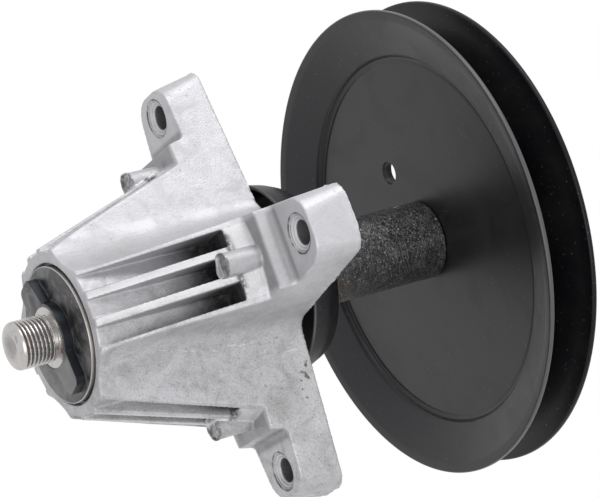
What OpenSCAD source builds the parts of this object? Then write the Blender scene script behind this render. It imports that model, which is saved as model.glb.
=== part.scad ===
// Mower deck spindle, blade end down. The origin is the centre of the deck seat, on the shaft's axis,
// and +Z runs along the shaft towards the pulley.

/* [Housing] */
// Height of the housing, from its lower end to the deck seat
housing_h = 73.8; // [70:0.1:90]
// Side of the square on which the four deck bolts stand
bolt_square = 88.9; // [86:0.1:94]
// Diameter of a deck bolt hole
bolt_hole_d = 8; // [6:0.1:10]
// Diameter of the turned ring round a bolt hole, on the lug's lower face
spotface_d = 12.8; // [11:0.1:15]
// Depth of the ring's flat step
spotface_step = 0.5; // [0.2:0.1:1]
// Depth of the ring's cone below that step
spotface_cone = 1.2; // [0.5:0.1:2]
// Width of the ring's flat step
spotface_land = 0.6; // [0.3:0.1:1]
// Radius of an arm's tip at the deck seat
arm_tip_r = 73.9; // [73:0.1:80]
// Width of an arm at its tip, at the deck seat
arm_tip_w = 21.8; // [20:0.1:26]
// Width that an arm's sides would reach at the shaft's axis
arm_axis_w = 45.1; // [42:0.1:48]
// Half width that an arm loses for each millimetre down
side_draft_share = 0.08; // [0.05:0.01:0.1]
// Radius that an arm's tip loses for each millimetre down
tip_draft_share = 0.174; // [0.1:0.002:0.2]
// Corner radius of an arm's tip at the deck seat
tip_corner_r = 5; // [3:0.1:7]
// Corner radius of an arm's tip below the lug
pad_corner_r = 8.8; // [6:0.1:9]
// Fillet radius between two arms at the deck seat
crotch_r = 6.3; // [5:0.1:8]
// Fillet radius between two arms at the lower end
crotch_foot_r = 24; // [23:0.1:25]
// Thickness of a lug
lug_t = 14.4; // [12:0.1:16]
// Radius of the step's top, where the lug's lower face ends
riser_r = 50.9; // [50.2:0.1:52]
// Fillet radius at the step's top
riser_fillet_r = 1.7; // [1:0.1:2.5]
// Radius of the step's lower edge
ridge_r = 50; // [49:0.1:50.2]
// Depth of the flat land below the deck seat
land_drop = 20.2; // [19:0.1:22]

/* [Ribs] */
// Radius of the ribs at the lower end
rib_foot_r = 28.3; // [28:0.1:30]
// Radius of the ribs at the land
rib_head_r = 44.7; // [43:0.1:46]
// Radius of the grooves' floor at the lower end
floor_foot_r = 27.2; // [26.6:0.1:27.6]
// Radius of the grooves' floor at the land
floor_head_r = 28.4; // [27.7:0.1:29.5]
// Width of the middle groove
mid_groove_w = 6.4; // [5:0.1:7]
// Thickness of the two inner ribs
inner_rib_t = 2.7; // [2:0.1:3]
// Width of an outer groove
side_groove_w = 6.1; // [5:0.1:6.4]
// Depth below the deck seat at which the grooves end, at their outer side
pocket_drop = 27.8; // [26:0.1:30]
// Rise of the grooves' slanted end towards the barrel
pocket_rise = 1.8; // [0.5:0.1:3]
// Diameter of the round stub under each land
stub_d = 8; // [6:0.1:9]
// Radius at which the stubs stand
stub_r = 42.9; // [42:0.1:44]
// Depth of the stubs' ends below the deck seat
stub_drop = 32.7; // [30:0.1:36]

/* [Bearings] */
// Outer diameter of a bearing
bearing_d = 47; // [46:0.1:48]
// Bore of a bearing, and diameter of the shaft
bearing_bore_d = 20; // [18:0.1:21]
// Width of a bearing
bearing_w = 14; // [13:0.1:15]
// Depth of the lower bearing inside the housing's lower end
lower_recess = 1.8; // [1.6:0.1:3]
// Depth of the upper bearing below the deck seat
upper_recess = 0.5; // [0.3:0.1:2]
// Bore of the housing between the bearings
shoulder_bore_d = 41; // [39:0.1:43]
// Diameter of a ball
ball_d = 7.94; // [7:0.01:8.2]
// Diameter of the circle that the balls' centres lie on
ball_circle_d = 33.5; // [33.2:0.1:34]
// Number of balls in a bearing
ball_count = 8; // [6:1:9]
// Diameter of the inner race's outside
inner_race_d = 28.8; // [28:0.1:29.4]
// Diameter of the outer race's inside
outer_race_bore_d = 38.2; // [37.8:0.1:39]
// Gap between a ball and its grooves, and round a seal's lip
race_gap = 0.07; // [0.03:0.01:0.1]
// Wall of the cage
cage_t = 1.7; // [1:0.1:2]
// Height of the cage
cage_h = 9.8; // [9:0.1:10.5]
// Gap between a ball and its pocket in the cage
pocket_gap = 0.12; // [0.05:0.01:0.2]
// Diameter of a seal
seal_d = 41.6; // [41:0.1:42.5]
// Thickness of a seal
seal_t = 0.8; // [0.5:0.1:1]
// Depth of a seal below the bearing's face
seal_recess = 0.3; // [0.1:0.1:0.5]
// Outer diameter of the spacer between the bearings
spacer_d = 27; // [25:0.1:28]

/* [Shaft] */
// Diameter of the blade stud
stud_d = 15.875; // [14:0.005:17]
// Length of the blade stud, from the shoulder to its end
stud_l = 13.4; // [12:0.1:30]
// Length from the shoulder to the driver's top face
shoulder_drop = 0.1; // [0.1:0.1:1]
// Diameter of the pulley end
pulley_end_d = 14.2875; // [13:0.0005:15]
// Distance of the upper shoulder below the pulley's web
upper_shoulder_gap = 1.5; // [0.5:0.1:3]
// Length of the pulley end above the nut
end_over_nut = 2.3; // [1:0.1:6]
// Chamfer at both ends
end_chamfer = 1.1; // [0.5:0.1:2]
// Diameter of the centre hole in each end
centre_hole_d = 6; // [3:0.1:8]
// Depth of the centre hole
centre_hole_depth = 2.6; // [1:0.1:4]

/* [Blade driver] */
// Diameter of the driver's disc
driver_d = 45.2; // [43:0.1:46]
// Distance of the disc's face below the housing
driver_proud = 0.8; // [0.3:0.1:2]
// Thickness of the disc
disc_t = 2.2; // [1:0.1:2.3]
// Diameter of the raised ring that rests on the bearing
driver_seat_d = 26; // [24:0.1:28]
// Height of the raised bar
bar_h = 3.4; // [2:0.1:6]
// Diameter of the bar's round middle
bar_hub_d = 22.6; // [22:0.1:26]
// Width that the bar's sides would reach at the shaft's axis
bar_axis_w = 16; // [14:0.1:18]
// Width of the bar at its ends
bar_end_w = 10; // [8:0.1:12]
// Distance of the bar's ends from the axis
bar_reach = 20.3; // [18:0.1:21]
// Corner radius of the bar's ends
bar_corner_r = 2.8; // [1.5:0.1:3.5]
// Angle of the bar about the shaft, in degrees
bar_angle = 29; // [0:1:90]

/* [Dust cap] */
// Diameter of the cap's open rim
cap_rim_d = 67; // [64:0.1:72]
// Diameter of the cap's flat top
cap_top_d = 55.2; // [52:0.1:58]
// Gap between the deck seat and the cap's rim
cap_gap = 2.4; // [1:0.1:4]
// Height of the cap
cap_h = 12.6; // [10:0.1:16]
// Sheet thickness of the cap
cap_t = 1.2; // [0.8:0.1:1.6]
// Bend radius round the cap's top
cap_bend_r = 2.6; // [2:0.1:4]

/* [Pulley] */
// Height of the pulley's web above the deck seat
web_z = 68.6; // [60:0.1:90]
// Outer diameter of the tube that carries the pulley
tube_d = 27.1; // [25:0.1:30]
// Diameter of the pulley
pulley_d = 163.2; // [140:0.1:176]
// Sheet thickness of each half
sheet_t = 1.9; // [1.2:0.1:2.5]
// Diameter at which the halves part
crease_d = 127; // [110:0.1:130]
// Width of the flatter lip round the rim
lip_w = 3.4; // [2:0.1:5]
// Fall of the lip
lip_fall = 0.6; // [0.3:0.1:1]
// Fall from the web to the rim
rim_fall = 7.8; // [6:0.1:9]
// Gap between the pulley's bore and the shaft's end
web_bore_gap = 0.06; // [0.02:0.01:0.1]
// Diameter of the hole through the web
web_hole_d = 8.2; // [6:0.1:10]
// Radius at which that hole lies
web_hole_r = 27.9; // [26:0.1:34]
// Angle of that hole about the shaft, in degrees
web_hole_angle = 32; // [0:1:90]

/* [Nut] */
// Width of the nut across its flats
nut_flats = 22.2; // [21:0.1:26]
// Height of the nut
nut_h = 14; // [12:0.1:16]
// Diameter of the nut's flange
nut_flange_d = 31; // [28:0.1:34]
// Thickness of the flange's edge
nut_flange_t = 1.6; // [1:0.1:2]
// Height of the flange's slope
nut_slope_h = 1.9; // [1:0.1:3]
// Chamfer round the nut's top
nut_chamfer = 1.4; // [0.8:0.1:2]

/* [Hidden] */
$fn = 96;

// Overrun of every cut past the face that it opens
over = 2;
arm_count = 4;
arm_angles = [for (i = [0 : arm_count - 1]) 360 * (i + 1 / 2) / arm_count];
bolt_r = bolt_square / sqrt(2);
side_slope = (arm_axis_w - arm_tip_w) / 2 / arm_tip_r;
side_angle = atan(side_slope);
tip_steps = 6;
crotch_steps = 12;

lower_end_z = -housing_h;
land_z = -land_drop;
lower_bearing_z = lower_end_z + lower_recess;
upper_bearing_z = -upper_recess - bearing_w;
disc_face_z = lower_end_z - driver_proud;
bar_top_z = disc_face_z - bar_h;
shoulder_z = bar_top_z + shoulder_drop;
stud_end_z = shoulder_z - stud_l;
cap_top_z = cap_gap + cap_h;
pulley_mid_z = web_z + sheet_t;
nut_z = pulley_mid_z + sheet_t;
shaft_top_z = nut_z + nut_h + end_over_nut;

flange_angle = atan((rim_fall - lip_fall) / (pulley_d / 2 - lip_w - crease_d / 2));
lip_angle = atan(lip_fall / lip_w);

// Points of an arc round a centre, in equal steps from one angle to another
function arc(centre, r, from, to, steps) =
    [for (i = [0 : steps]) let (a = from + (to - from) * i / steps) centre + r * [cos(a), sin(a)]];

function turned(points, angle) =
    [for (p = points) [p.x * cos(angle) - p.y * sin(angle), p.x * sin(angle) + p.y * cos(angle)]];

// One arm's outline at a depth below the seat: its tip with two round corners, then the fillet to the
// next arm. Its sides are straight lines that close in towards the tip.
function arm_outline(depth, corner_r, fillet_r) =
    let (half_w = arm_axis_w / 2 - side_draft_share * depth)
    let (corner_x = arm_tip_r - tip_draft_share * depth - corner_r)
    let (corner_y = half_w - side_slope * corner_x - corner_r / cos(side_angle))
    let (meet_r = sqrt(2) * half_w / (1 + side_slope))
    let (fillet_c = (meet_r + fillet_r / sin(45 + side_angle)) / sqrt(2))
    concat(
        arc([corner_x, -corner_y], corner_r, side_angle - 90, 0, tip_steps),
        arc([corner_x, corner_y], corner_r, 0, 90 - side_angle, tip_steps),
        arc([fillet_c, fillet_c], fillet_r, 270 - side_angle, 180 + side_angle, crotch_steps)
    );

function star_ring(depth, corner_r, fillet_r) =
    [for (a = arm_angles) each turned(arm_outline(depth, corner_r, fillet_r), a)];

function fillet_at(depth) = crotch_r + (crotch_foot_r - crotch_r) * depth / housing_h;

// Four drafted arms as one solid, through the outlines at the seat, between lug and land, and under the foot
module star() {
    depths = [0, (lug_t + land_drop) / 2, housing_h + over];
    rings = [
        star_ring(depths[0], tip_corner_r, fillet_at(depths[0])),
        star_ring(depths[1], pad_corner_r, fillet_at(depths[1])),
        star_ring(depths[2], tip_corner_r, fillet_at(depths[2]))
    ];
    n = len(rings[0]);
    points = [for (k = [0 : 2]) for (p = rings[k]) [p.x, p.y, -depths[k]]];
    top = [for (i = [0 : n - 1]) n - 1 - i];
    foot = [for (i = [0 : n - 1]) 2 * n + i];
    sides = [for (k = [0 : 1]) for (i = [0 : n - 1]) let (j = (i + 1) % n)
        [k * n + i, k * n + j, (k + 1) * n + j, (k + 1) * n + i]];
    polyhedron(points = points, faces = concat([top, foot], sides));
}

// A profile drawn as radius and height, pulled straight across an arm
module across(width) {
    rotate([90, 0, 0])
        linear_extrude(height = width, center = true)
            children();
}

// The space under a lug: a flat lower face, a fillet, and a steep step down to the land
module lug_cut() {
    fillet_c = [riser_r + riser_fillet_r, -lug_t - riser_fillet_r];
    far = arm_tip_r + over;
    across(arm_axis_w)
        polygon(concat(
            [[far, -lug_t]],
            arc(fillet_c, riser_fillet_r, 90, 180, tip_steps),
            [[ridge_r, land_z], [ridge_r, land_z - over], [far, land_z - over]]
        ));
}

// The room that the arms fill: full length above the land, and the ribs' cone below it
module arm_room() {
    translate([0, 0, land_z])
        cylinder(h = land_drop + over, r = arm_tip_r + over);
    translate([0, 0, lower_end_z])
        cylinder(h = housing_h - land_drop, r1 = rib_foot_r, r2 = rib_head_r);
}

// One groove between ribs, open at the foot and closed by a slanted end
module groove(width) {
    across(width)
        polygon([
            [floor_foot_r / 2, lower_end_z - over],
            [rib_head_r + over, lower_end_z - over],
            [rib_head_r + over, -pocket_drop],
            [rib_head_r, -pocket_drop],
            [floor_foot_r, pocket_rise - pocket_drop],
            [floor_foot_r / 2, pocket_rise - pocket_drop]
        ]);
}

module arm_grooves() {
    side_y = mid_groove_w / 2 + inner_rib_t + side_groove_w / 2;
    groove(mid_groove_w);
    for (side = [-1, 1])
        translate([0, side * side_y, 0])
            groove(side_groove_w);
}

module barrel_core() {
    slope = (floor_head_r - floor_foot_r) / (housing_h - land_drop);
    translate([0, 0, lower_end_z - over])
        cylinder(h = housing_h + over, r1 = floor_foot_r - slope * over, r2 = floor_head_r + slope * land_drop);
}

module bolt_hole() {
    step_r = spotface_d / 2 - spotface_land;
    translate([bolt_r, 0, 0]) {
        translate([0, 0, -lug_t - over])
            cylinder(h = lug_t + over * 2, d = bolt_hole_d);
        translate([0, 0, -lug_t - over])
            cylinder(h = over + spotface_step, d = spotface_d);
        translate([0, 0, spotface_step - lug_t])
            cylinder(h = spotface_cone, r1 = step_r, r2 = bolt_hole_d / 2);
    }
}

module bearing_bores() {
    translate([0, 0, lower_end_z - over])
        cylinder(h = over + lower_recess + bearing_w, d = bearing_d);
    translate([0, 0, lower_end_z])
        cylinder(h = housing_h, d = shoulder_bore_d);
    translate([0, 0, upper_bearing_z])
        cylinder(h = bearing_w + upper_recess + over, d = bearing_d);
}

module spindle_housing() {
    color("darkgray")
        difference() {
            union() {
                difference() {
                    intersection() {
                        arm_room();
                        star();
                    }
                    for (a = arm_angles)
                        rotate([0, 0, a])
                            lug_cut();
                    difference() {
                        for (a = arm_angles)
                            rotate([0, 0, a])
                                arm_grooves();
                        barrel_core();
                    }
                }
                for (a = arm_angles)
                    rotate([0, 0, a])
                        translate([stub_r, 0, -stub_drop])
                            cylinder(h = stub_drop - (land_drop + lug_t) / 2, d = stub_d);
            }
            for (a = arm_angles)
                rotate([0, 0, a])
                    bolt_hole();
            bearing_bores();
        }
}

module spindle_shaft() {
    shaft_r = bearing_bore_d / 2;
    color("silver")
        rotate_extrude()
            polygon([
                [0, stud_end_z + centre_hole_depth],
                [centre_hole_d / 2, stud_end_z],
                [stud_d / 2 - end_chamfer, stud_end_z],
                [stud_d / 2, stud_end_z + end_chamfer],
                [stud_d / 2, shoulder_z],
                [shaft_r, shoulder_z],
                [shaft_r, web_z - upper_shoulder_gap],
                [pulley_end_d / 2, web_z - upper_shoulder_gap],
                [pulley_end_d / 2, shaft_top_z - end_chamfer],
                [pulley_end_d / 2 - end_chamfer, shaft_top_z],
                [centre_hole_d / 2, shaft_top_z],
                [0, shaft_top_z - centre_hole_depth]
            ]);
}

// Ball groove in a race's section
module ball_groove_section() {
    translate([ball_circle_d / 2, 0])
        circle(d = ball_d + race_gap * 2);
}

// A plain ring between two diameters, centred on its own middle plane
module ring(inner_d, outer_d, height) {
    difference() {
        cylinder(h = height, d = outer_d, center = true);
        cylinder(h = height + over, d = inner_d, center = true);
    }
}

module outer_race() {
    seal_seat_z = bearing_w / 2 - seal_recess - seal_t;
    color("gainsboro")
        rotate_extrude()
            difference() {
                translate([outer_race_bore_d / 2, -bearing_w / 2])
                    square([(bearing_d - outer_race_bore_d) / 2, bearing_w]);
                ball_groove_section();
                for (side = [0, 1])
                    mirror([0, side])
                        translate([outer_race_bore_d / 2 - over, seal_seat_z])
                            square([(seal_d - outer_race_bore_d) / 2 + over, bearing_w]);
            }
}

module inner_race() {
    color("gainsboro")
        rotate_extrude()
            difference() {
                translate([bearing_bore_d / 2, -bearing_w / 2])
                    square([(inner_race_d - bearing_bore_d) / 2, bearing_w]);
                ball_groove_section();
            }
}

module ball_places() {
    for (i = [0 : ball_count - 1])
        rotate([0, 0, 360 * i / ball_count])
            translate([ball_circle_d / 2, 0, 0])
                children();
}

module balls() {
    color("silver")
        ball_places()
            sphere(d = ball_d);
}

module cage() {
    color("goldenrod")
        difference() {
            ring(ball_circle_d - cage_t, ball_circle_d + cage_t, cage_h);
            ball_places()
                rotate([0, 90, 0])
                    cylinder(h = cage_t + over, d = ball_d + pocket_gap * 2, center = true);
        }
}

module seal() {
    color("dimgray")
        ring(inner_race_d + race_gap * 2, seal_d, seal_t);
}

// Puts a bearing's piece at the bearing's middle, and a seal just inside one of its faces
module in_bearing(base_z) {
    translate([0, 0, base_z + bearing_w / 2])
        children();
}

module seal_at(base_z, side) {
    in_bearing(base_z)
        translate([0, 0, side * (bearing_w / 2 - seal_recess - seal_t / 2)])
            seal();
}

module bearing_spacer() {
    from_z = lower_bearing_z + bearing_w;
    length = upper_bearing_z - from_z;
    color("gray")
        translate([0, 0, from_z + length / 2])
            ring(bearing_bore_d, spacer_d, length);
}

// One arm of the bar on the driver's face, with round outer corners
module bar_lobe() {
    corner = [bar_reach - bar_corner_r, bar_end_w / 2 - bar_corner_r];
    polygon([
        [0, -bar_axis_w / 2],
        [corner.x, -bar_end_w / 2],
        [bar_reach, -corner.y],
        [bar_reach, corner.y],
        [corner.x, bar_end_w / 2],
        [0, bar_axis_w / 2]
    ]);
    for (side = [-1, 1])
        translate([corner.x, side * corner.y])
            circle(r = bar_corner_r);
}

module blade_driver() {
    color("#2a2d33")
        difference() {
            union() {
                translate([0, 0, disc_face_z])
                    cylinder(h = disc_t, d = driver_d);
                translate([0, 0, disc_face_z])
                    cylinder(h = driver_proud + lower_recess, d = driver_seat_d);
                translate([0, 0, bar_top_z])
                    rotate([0, 0, bar_angle])
                        linear_extrude(height = bar_h + disc_t / 2)
                            union() {
                                circle(d = bar_hub_d);
                                bar_lobe();
                                rotate([0, 0, 180])
                                    bar_lobe();
                            }
            }
            translate([0, 0, bar_top_z - over])
                cylinder(h = bar_h + driver_proud + lower_recess + over * 2, d = bearing_bore_d);
        }
}

// A pressed dish, open towards the deck: a cone, a bend and a flat top round the tube
module dust_cap() {
    rim_r = cap_rim_d / 2;
    top_r = cap_top_d / 2;
    lean = atan((rim_r - top_r) / cap_h);
    bend_c = [top_r - cap_bend_r * (1 - sin(lean)) / cos(lean), cap_top_z - cap_bend_r];
    color("#1c1d20")
        rotate_extrude()
            polygon(concat(
                [[rim_r, cap_gap]],
                arc(bend_c, cap_bend_r, lean, 90, tip_steps),
                [[tube_d / 2, cap_top_z], [tube_d / 2, cap_top_z - cap_t]],
                arc(bend_c, cap_bend_r - cap_t, 90, lean, tip_steps),
                [[rim_r - cap_t / cos(lean), cap_gap]]
            ));
}

module pulley_spacer_tube() {
    length = web_z + upper_recess;
    color("#3b3734")
        translate([0, 0, length / 2 - upper_recess])
            ring(bearing_bore_d, tube_d, length);
}

// The lower stamping: a flat web, a crease, a conical flange and a flatter lip, of one thickness
module pulley_half() {
    bore_r = pulley_end_d / 2 + web_bore_gap;
    rim_r = pulley_d / 2;
    crease = [crease_d / 2, web_z];
    bend = [rim_r - lip_w, web_z - rim_fall + lip_fall];
    rim_z = web_z - rim_fall;
    mean_angle = (flange_angle + lip_angle) / 2;
    half_turn = (flange_angle - lip_angle) / 2;
    rotate_extrude()
        polygon([
            [bore_r, web_z],
            crease,
            bend,
            [rim_r, rim_z],
            [rim_r, rim_z + sheet_t / cos(lip_angle)],
            bend + sheet_t / cos(half_turn) * [sin(mean_angle), cos(mean_angle)],
            crease + sheet_t * [tan(flange_angle / 2), 1],
            [bore_r, pulley_mid_z]
        ]);
}

module web_hole() {
    rotate([0, 0, web_hole_angle])
        translate([web_hole_r, 0, web_z - over])
            cylinder(h = sheet_t * 2 + over * 2, d = web_hole_d);
}

module pulley_lower_half() {
    color("#222429")
        difference() {
            pulley_half();
            web_hole();
        }
}

module pulley_upper_half() {
    color("#222429")
        difference() {
            translate([0, 0, pulley_mid_z * 2])
                mirror([0, 0, 1])
                    pulley_half();
            web_hole();
        }
}

// A hexagon nut on a sloping flange
module pulley_nut() {
    corner_r = nut_flats / 2 / cos(30);
    color("silver")
        translate([0, 0, nut_z])
            difference() {
                union() {
                    cylinder(h = nut_flange_t, d = nut_flange_d);
                    translate([0, 0, nut_flange_t])
                        cylinder(h = nut_slope_h, d1 = nut_flange_d, d2 = nut_flats);
                    intersection() {
                        cylinder(h = nut_h, r = corner_r, $fn = 6);
                        rotate_extrude()
                            polygon([
                                [0, 0],
                                [corner_r + over, 0],
                                [corner_r + over, nut_h / 2],
                                [corner_r, nut_h - nut_chamfer],
                                [nut_flats / 2, nut_h],
                                [0, nut_h]
                            ]);
                    }
                }
                translate([0, 0, -over])
                    cylinder(h = nut_h + over * 2, d = pulley_end_d);
            }
}

spindle_housing();
spindle_shaft();
in_bearing(lower_bearing_z) outer_race();  // lower_bearing_outer_race
in_bearing(lower_bearing_z) inner_race();  // lower_bearing_inner_race
in_bearing(lower_bearing_z) balls();  // lower_bearing_balls
in_bearing(lower_bearing_z) cage();  // lower_bearing_cage
seal_at(lower_bearing_z, -1);  // lower_bearing_outer_seal
seal_at(lower_bearing_z, 1);  // lower_bearing_inner_seal
in_bearing(upper_bearing_z) outer_race();  // upper_bearing_outer_race
in_bearing(upper_bearing_z) inner_race();  // upper_bearing_inner_race
in_bearing(upper_bearing_z) balls();  // upper_bearing_balls
in_bearing(upper_bearing_z) cage();  // upper_bearing_cage
seal_at(upper_bearing_z, 1);  // upper_bearing_outer_seal
seal_at(upper_bearing_z, -1);  // upper_bearing_inner_seal
bearing_spacer();
blade_driver();
dust_cap();
pulley_spacer_tube();
pulley_lower_half();
pulley_upper_half();
pulley_nut();
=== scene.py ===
import bmesh
import bpy
import numpy as np
from bpy.props import FloatProperty, FloatVectorProperty, IntProperty, PointerProperty
from mathutils import Matrix, Vector, noise


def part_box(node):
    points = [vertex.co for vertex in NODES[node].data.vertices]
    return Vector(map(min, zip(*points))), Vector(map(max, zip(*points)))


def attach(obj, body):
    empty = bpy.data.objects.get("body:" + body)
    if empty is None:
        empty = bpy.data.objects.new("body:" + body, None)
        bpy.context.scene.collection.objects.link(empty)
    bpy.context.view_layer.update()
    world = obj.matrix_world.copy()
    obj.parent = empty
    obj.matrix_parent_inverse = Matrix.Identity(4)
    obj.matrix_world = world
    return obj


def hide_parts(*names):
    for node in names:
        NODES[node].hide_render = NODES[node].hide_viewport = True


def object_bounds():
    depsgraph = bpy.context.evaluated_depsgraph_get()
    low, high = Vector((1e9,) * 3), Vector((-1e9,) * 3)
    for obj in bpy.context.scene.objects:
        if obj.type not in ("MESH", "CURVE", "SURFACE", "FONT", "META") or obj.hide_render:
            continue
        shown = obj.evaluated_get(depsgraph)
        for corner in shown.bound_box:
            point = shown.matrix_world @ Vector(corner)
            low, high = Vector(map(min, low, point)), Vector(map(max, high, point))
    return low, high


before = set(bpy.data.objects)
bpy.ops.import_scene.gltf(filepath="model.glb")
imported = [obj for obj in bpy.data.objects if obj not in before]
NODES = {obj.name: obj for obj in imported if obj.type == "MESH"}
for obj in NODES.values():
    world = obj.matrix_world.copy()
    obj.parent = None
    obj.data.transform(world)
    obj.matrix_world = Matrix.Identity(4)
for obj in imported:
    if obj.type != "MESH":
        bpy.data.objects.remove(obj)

bl_info = {
    "name": "Mower Deck Spindle",
    "version": (1, 0, 0),
    "blender": (4, 5, 0),
    "location": "3D View > Sidebar > Spindle",
    "description": "Dresses the mower deck spindle's packed model with cast, turned, painted and rusted surfaces",
    "category": "Object",
}

MM = 0.001
CAD_LOW, CAD_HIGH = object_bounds()

# Sizes of the solids that finishes and fine detail follow: the heights of the lugs' lower faces, of the lands above
# the grooves, of the grooves' closed ends and of the stubs' ends, how far the stubs lie from the shaft and the bolt
# holes from it along X and Y, and the pulley's radius and sheet
LUG_Z, LAND_Z, GROOVE_END_Z, STUB_Z = -14.4 * MM, -20.2 * MM, -27.8 * MM, -32.7 * MM
STUB_R, BOLT_XY, PULLEY_R, SHEET = 42.9 * MM, 44.45 * MM, 81.6 * MM, 1.9 * MM

# The camera of the photograph, in the part's frame: its place in metres, and which way its right and up point
CAMERA_PLACE = Vector((-0.64922, 0.44327, -0.42782))
CAMERA_RIGHT = Vector((-0.5367, 0.05955, 0.84167))
CAMERA_UP = Vector((0.43601, 0.87358, 0.21622))
CAMERA_BACK = CAMERA_RIGHT.cross(CAMERA_UP).normalized()


class SpindleShapes(bpy.types.PropertyGroup):
    """Sizes of the detail that the solids leave out."""

    thread_pitch: FloatProperty(
        name="Thread pitch", description="Pitch of the blade stud's thread", default=1.411 * MM, unit="LENGTH")
    thread_depth: FloatProperty(
        name="Thread depth", description="Depth of the thread's grooves", default=0.82 * MM, unit="LENGTH")
    casting_voxel: FloatProperty(
        name="Casting voxel", description="Grid size at which the casting is remeshed", default=0.4 * MM,
        unit="LENGTH")
    casting_softness: IntProperty(
        name="Casting softness", description="Smoothing passes that round the casting's edges", default=2,
        min=0, max=20)
    crease_radius: FloatProperty(
        name="Crease radius", description="Bend radius where the pulley's halves part", default=1.6 * MM,
        unit="LENGTH")
    lip_radius: FloatProperty(
        name="Lip radius", description="Bend radius at the pulley's lip", default=2.0 * MM, unit="LENGTH")
    edge_radius: FloatProperty(
        name="Edge radius", description="Rounding of the driver's edges", default=0.9 * MM, unit="LENGTH")
    flash_height: FloatProperty(
        name="Flash height", description="Height of the torn metal round the ends of the stubs", default=1.4 * MM,
        unit="LENGTH")


class SpindleFinishes(bpy.types.PropertyGroup):
    """Colours of the finishes."""

    aluminium: FloatVectorProperty(
        name="Aluminium", description="Clean cast aluminium", subtype="COLOR", default=(0.56, 0.552, 0.58))
    aluminium_dark: FloatVectorProperty(
        name="Aluminium shade", description="Dull patches and specks in the casting", subtype="COLOR",
        default=(0.235, 0.232, 0.222))
    # Hollows: sooty skin, and painted shade that deepens in the grooves between the ribs
    hollow: FloatVectorProperty(
        name="Hollows", description="Sooty skin in the grooves between the ribs", subtype="COLOR",
        default=(0.035, 0.035, 0.038))
    soil: FloatVectorProperty(
        name="Soil", description="Brown stain in the casting's pits", subtype="COLOR",
        default=(0.09, 0.055, 0.035))
    paint: FloatVectorProperty(
        name="Black paint", description="Satin black coat", subtype="COLOR", default=(0.0028, 0.0025, 0.0032))
    paint_grey: FloatVectorProperty(
        name="Grey bloom", description="Greyer blotches in the black coat", subtype="COLOR",
        default=(0.0065, 0.0063, 0.0066))
    steel: FloatVectorProperty(
        name="Steel", description="Turned steel", subtype="COLOR", default=(0.50, 0.485, 0.475))
    steel_dark: FloatVectorProperty(
        name="Dark steel", description="Sanded dark steel of the tube", subtype="COLOR",
        default=(0.085, 0.084, 0.085))
    rust: FloatVectorProperty(
        name="Rust", description="Rust in the thread", subtype="COLOR", default=(0.13, 0.05, 0.022))


class SpindleStudio(bpy.types.PropertyGroup):
    """Camera and lamps."""

    lens: FloatProperty(name="Lens", description="Focal length", default=160.77, unit="CAMERA")
    sky: FloatProperty(name="Sky", description="Strength of the even light all round", default=0.55)
    key: FloatProperty(name="Key lamp", description="Power of the lamp above the photograph", default=4.7, unit="POWER")
    fill: FloatProperty(name="Fill lamp", description="Power of the lamp beside the camera", default=4.0, unit="POWER")


def shapes():
    return bpy.context.scene.spindle_shapes


def finishes():
    return bpy.context.scene.spindle_finishes


def studio():
    return bpy.context.scene.spindle_studio


# Shapes

def rounded(corners, radii, steps=6):
    """A closed outline with its corners rounded.

    Each corner is replaced by an arc that touches both of its sides: its centre lies on the corner's
    bisector at radius / sin(half the corner's angle), and it sweeps the shorter way round.
    """
    corners = np.asarray(corners, float)
    points = []
    for i, (corner, radius) in enumerate(zip(corners, radii)):
        if radius <= 0:
            points.append(corner[None, :])
            continue
        before = corners[i - 1] - corner
        after = corners[(i + 1) % len(corners)] - corner
        before = before / np.linalg.norm(before)
        after = after / np.linalg.norm(after)
        half = np.arccos(np.clip(before @ after, -1, 1)) / 2
        middle = (before + after) / np.linalg.norm(before + after)
        centre = corner + middle * radius / np.sin(half)
        start = corner + before * radius / np.tan(half) - centre
        end = corner + after * radius / np.tan(half) - centre
        first = np.arctan2(start[1], start[0])
        sweep = np.arctan2(end[1], end[0]) - first
        sweep = (sweep + np.pi) % (2 * np.pi) - np.pi
        angles = first + sweep * np.linspace(0, 1, steps + 1)
        points.append(centre + radius * np.stack([np.cos(angles), np.sin(angles)], axis=1))
    return np.concatenate(points)


def grid_faces(rows, columns, closed_rows):
    """Quads of a grid whose columns close on themselves, and whose rows close too if asked."""
    last = rows if closed_rows else rows - 1
    r, c = np.meshgrid(np.arange(last), np.arange(columns), indexing="ij")
    below, beside = (r + 1) % rows, (c + 1) % columns
    quads = np.stack([r * columns + c, r * columns + beside, below * columns + beside, below * columns + c], axis=-1)
    return quads.reshape(-1, 4).tolist()


def round_grid(radius, height, angles):
    """The points of a grid of radii and heights at some angles: x = r cos a, y = r sin a, z = h."""
    x, y = radius * np.cos(angles), radius * np.sin(angles)
    return np.stack([x, y, np.broadcast_to(height, x.shape)], axis=-1).reshape(-1, 3)


def full_turn(steps):
    return np.linspace(0, 2 * np.pi, steps, endpoint=False)


def turned(profile, steps=192):
    """A closed outline of (radius, height) points turned about the shaft."""
    radius, height = np.asarray(profile, float).T
    vertices = round_grid(radius[:, None], height[:, None], full_turn(steps))
    return vertices, grid_faces(len(radius), steps, closed_rows=True)


def vectors(items, name):
    """One vector of every point or face of a mesh, as rows."""
    values = np.empty(len(items) * 3)
    items.foreach_get(name, values)
    return values.reshape(-1, 3)


def set_values(thing, **settings):
    """Sets several values of a new modifier, node, lamp or the like."""
    for name, value in settings.items():
        setattr(thing, name, value)
    return thing


def add_object(name, data):
    thing = bpy.data.objects.new(name, data)
    bpy.context.scene.collection.objects.link(thing)
    return thing


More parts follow.
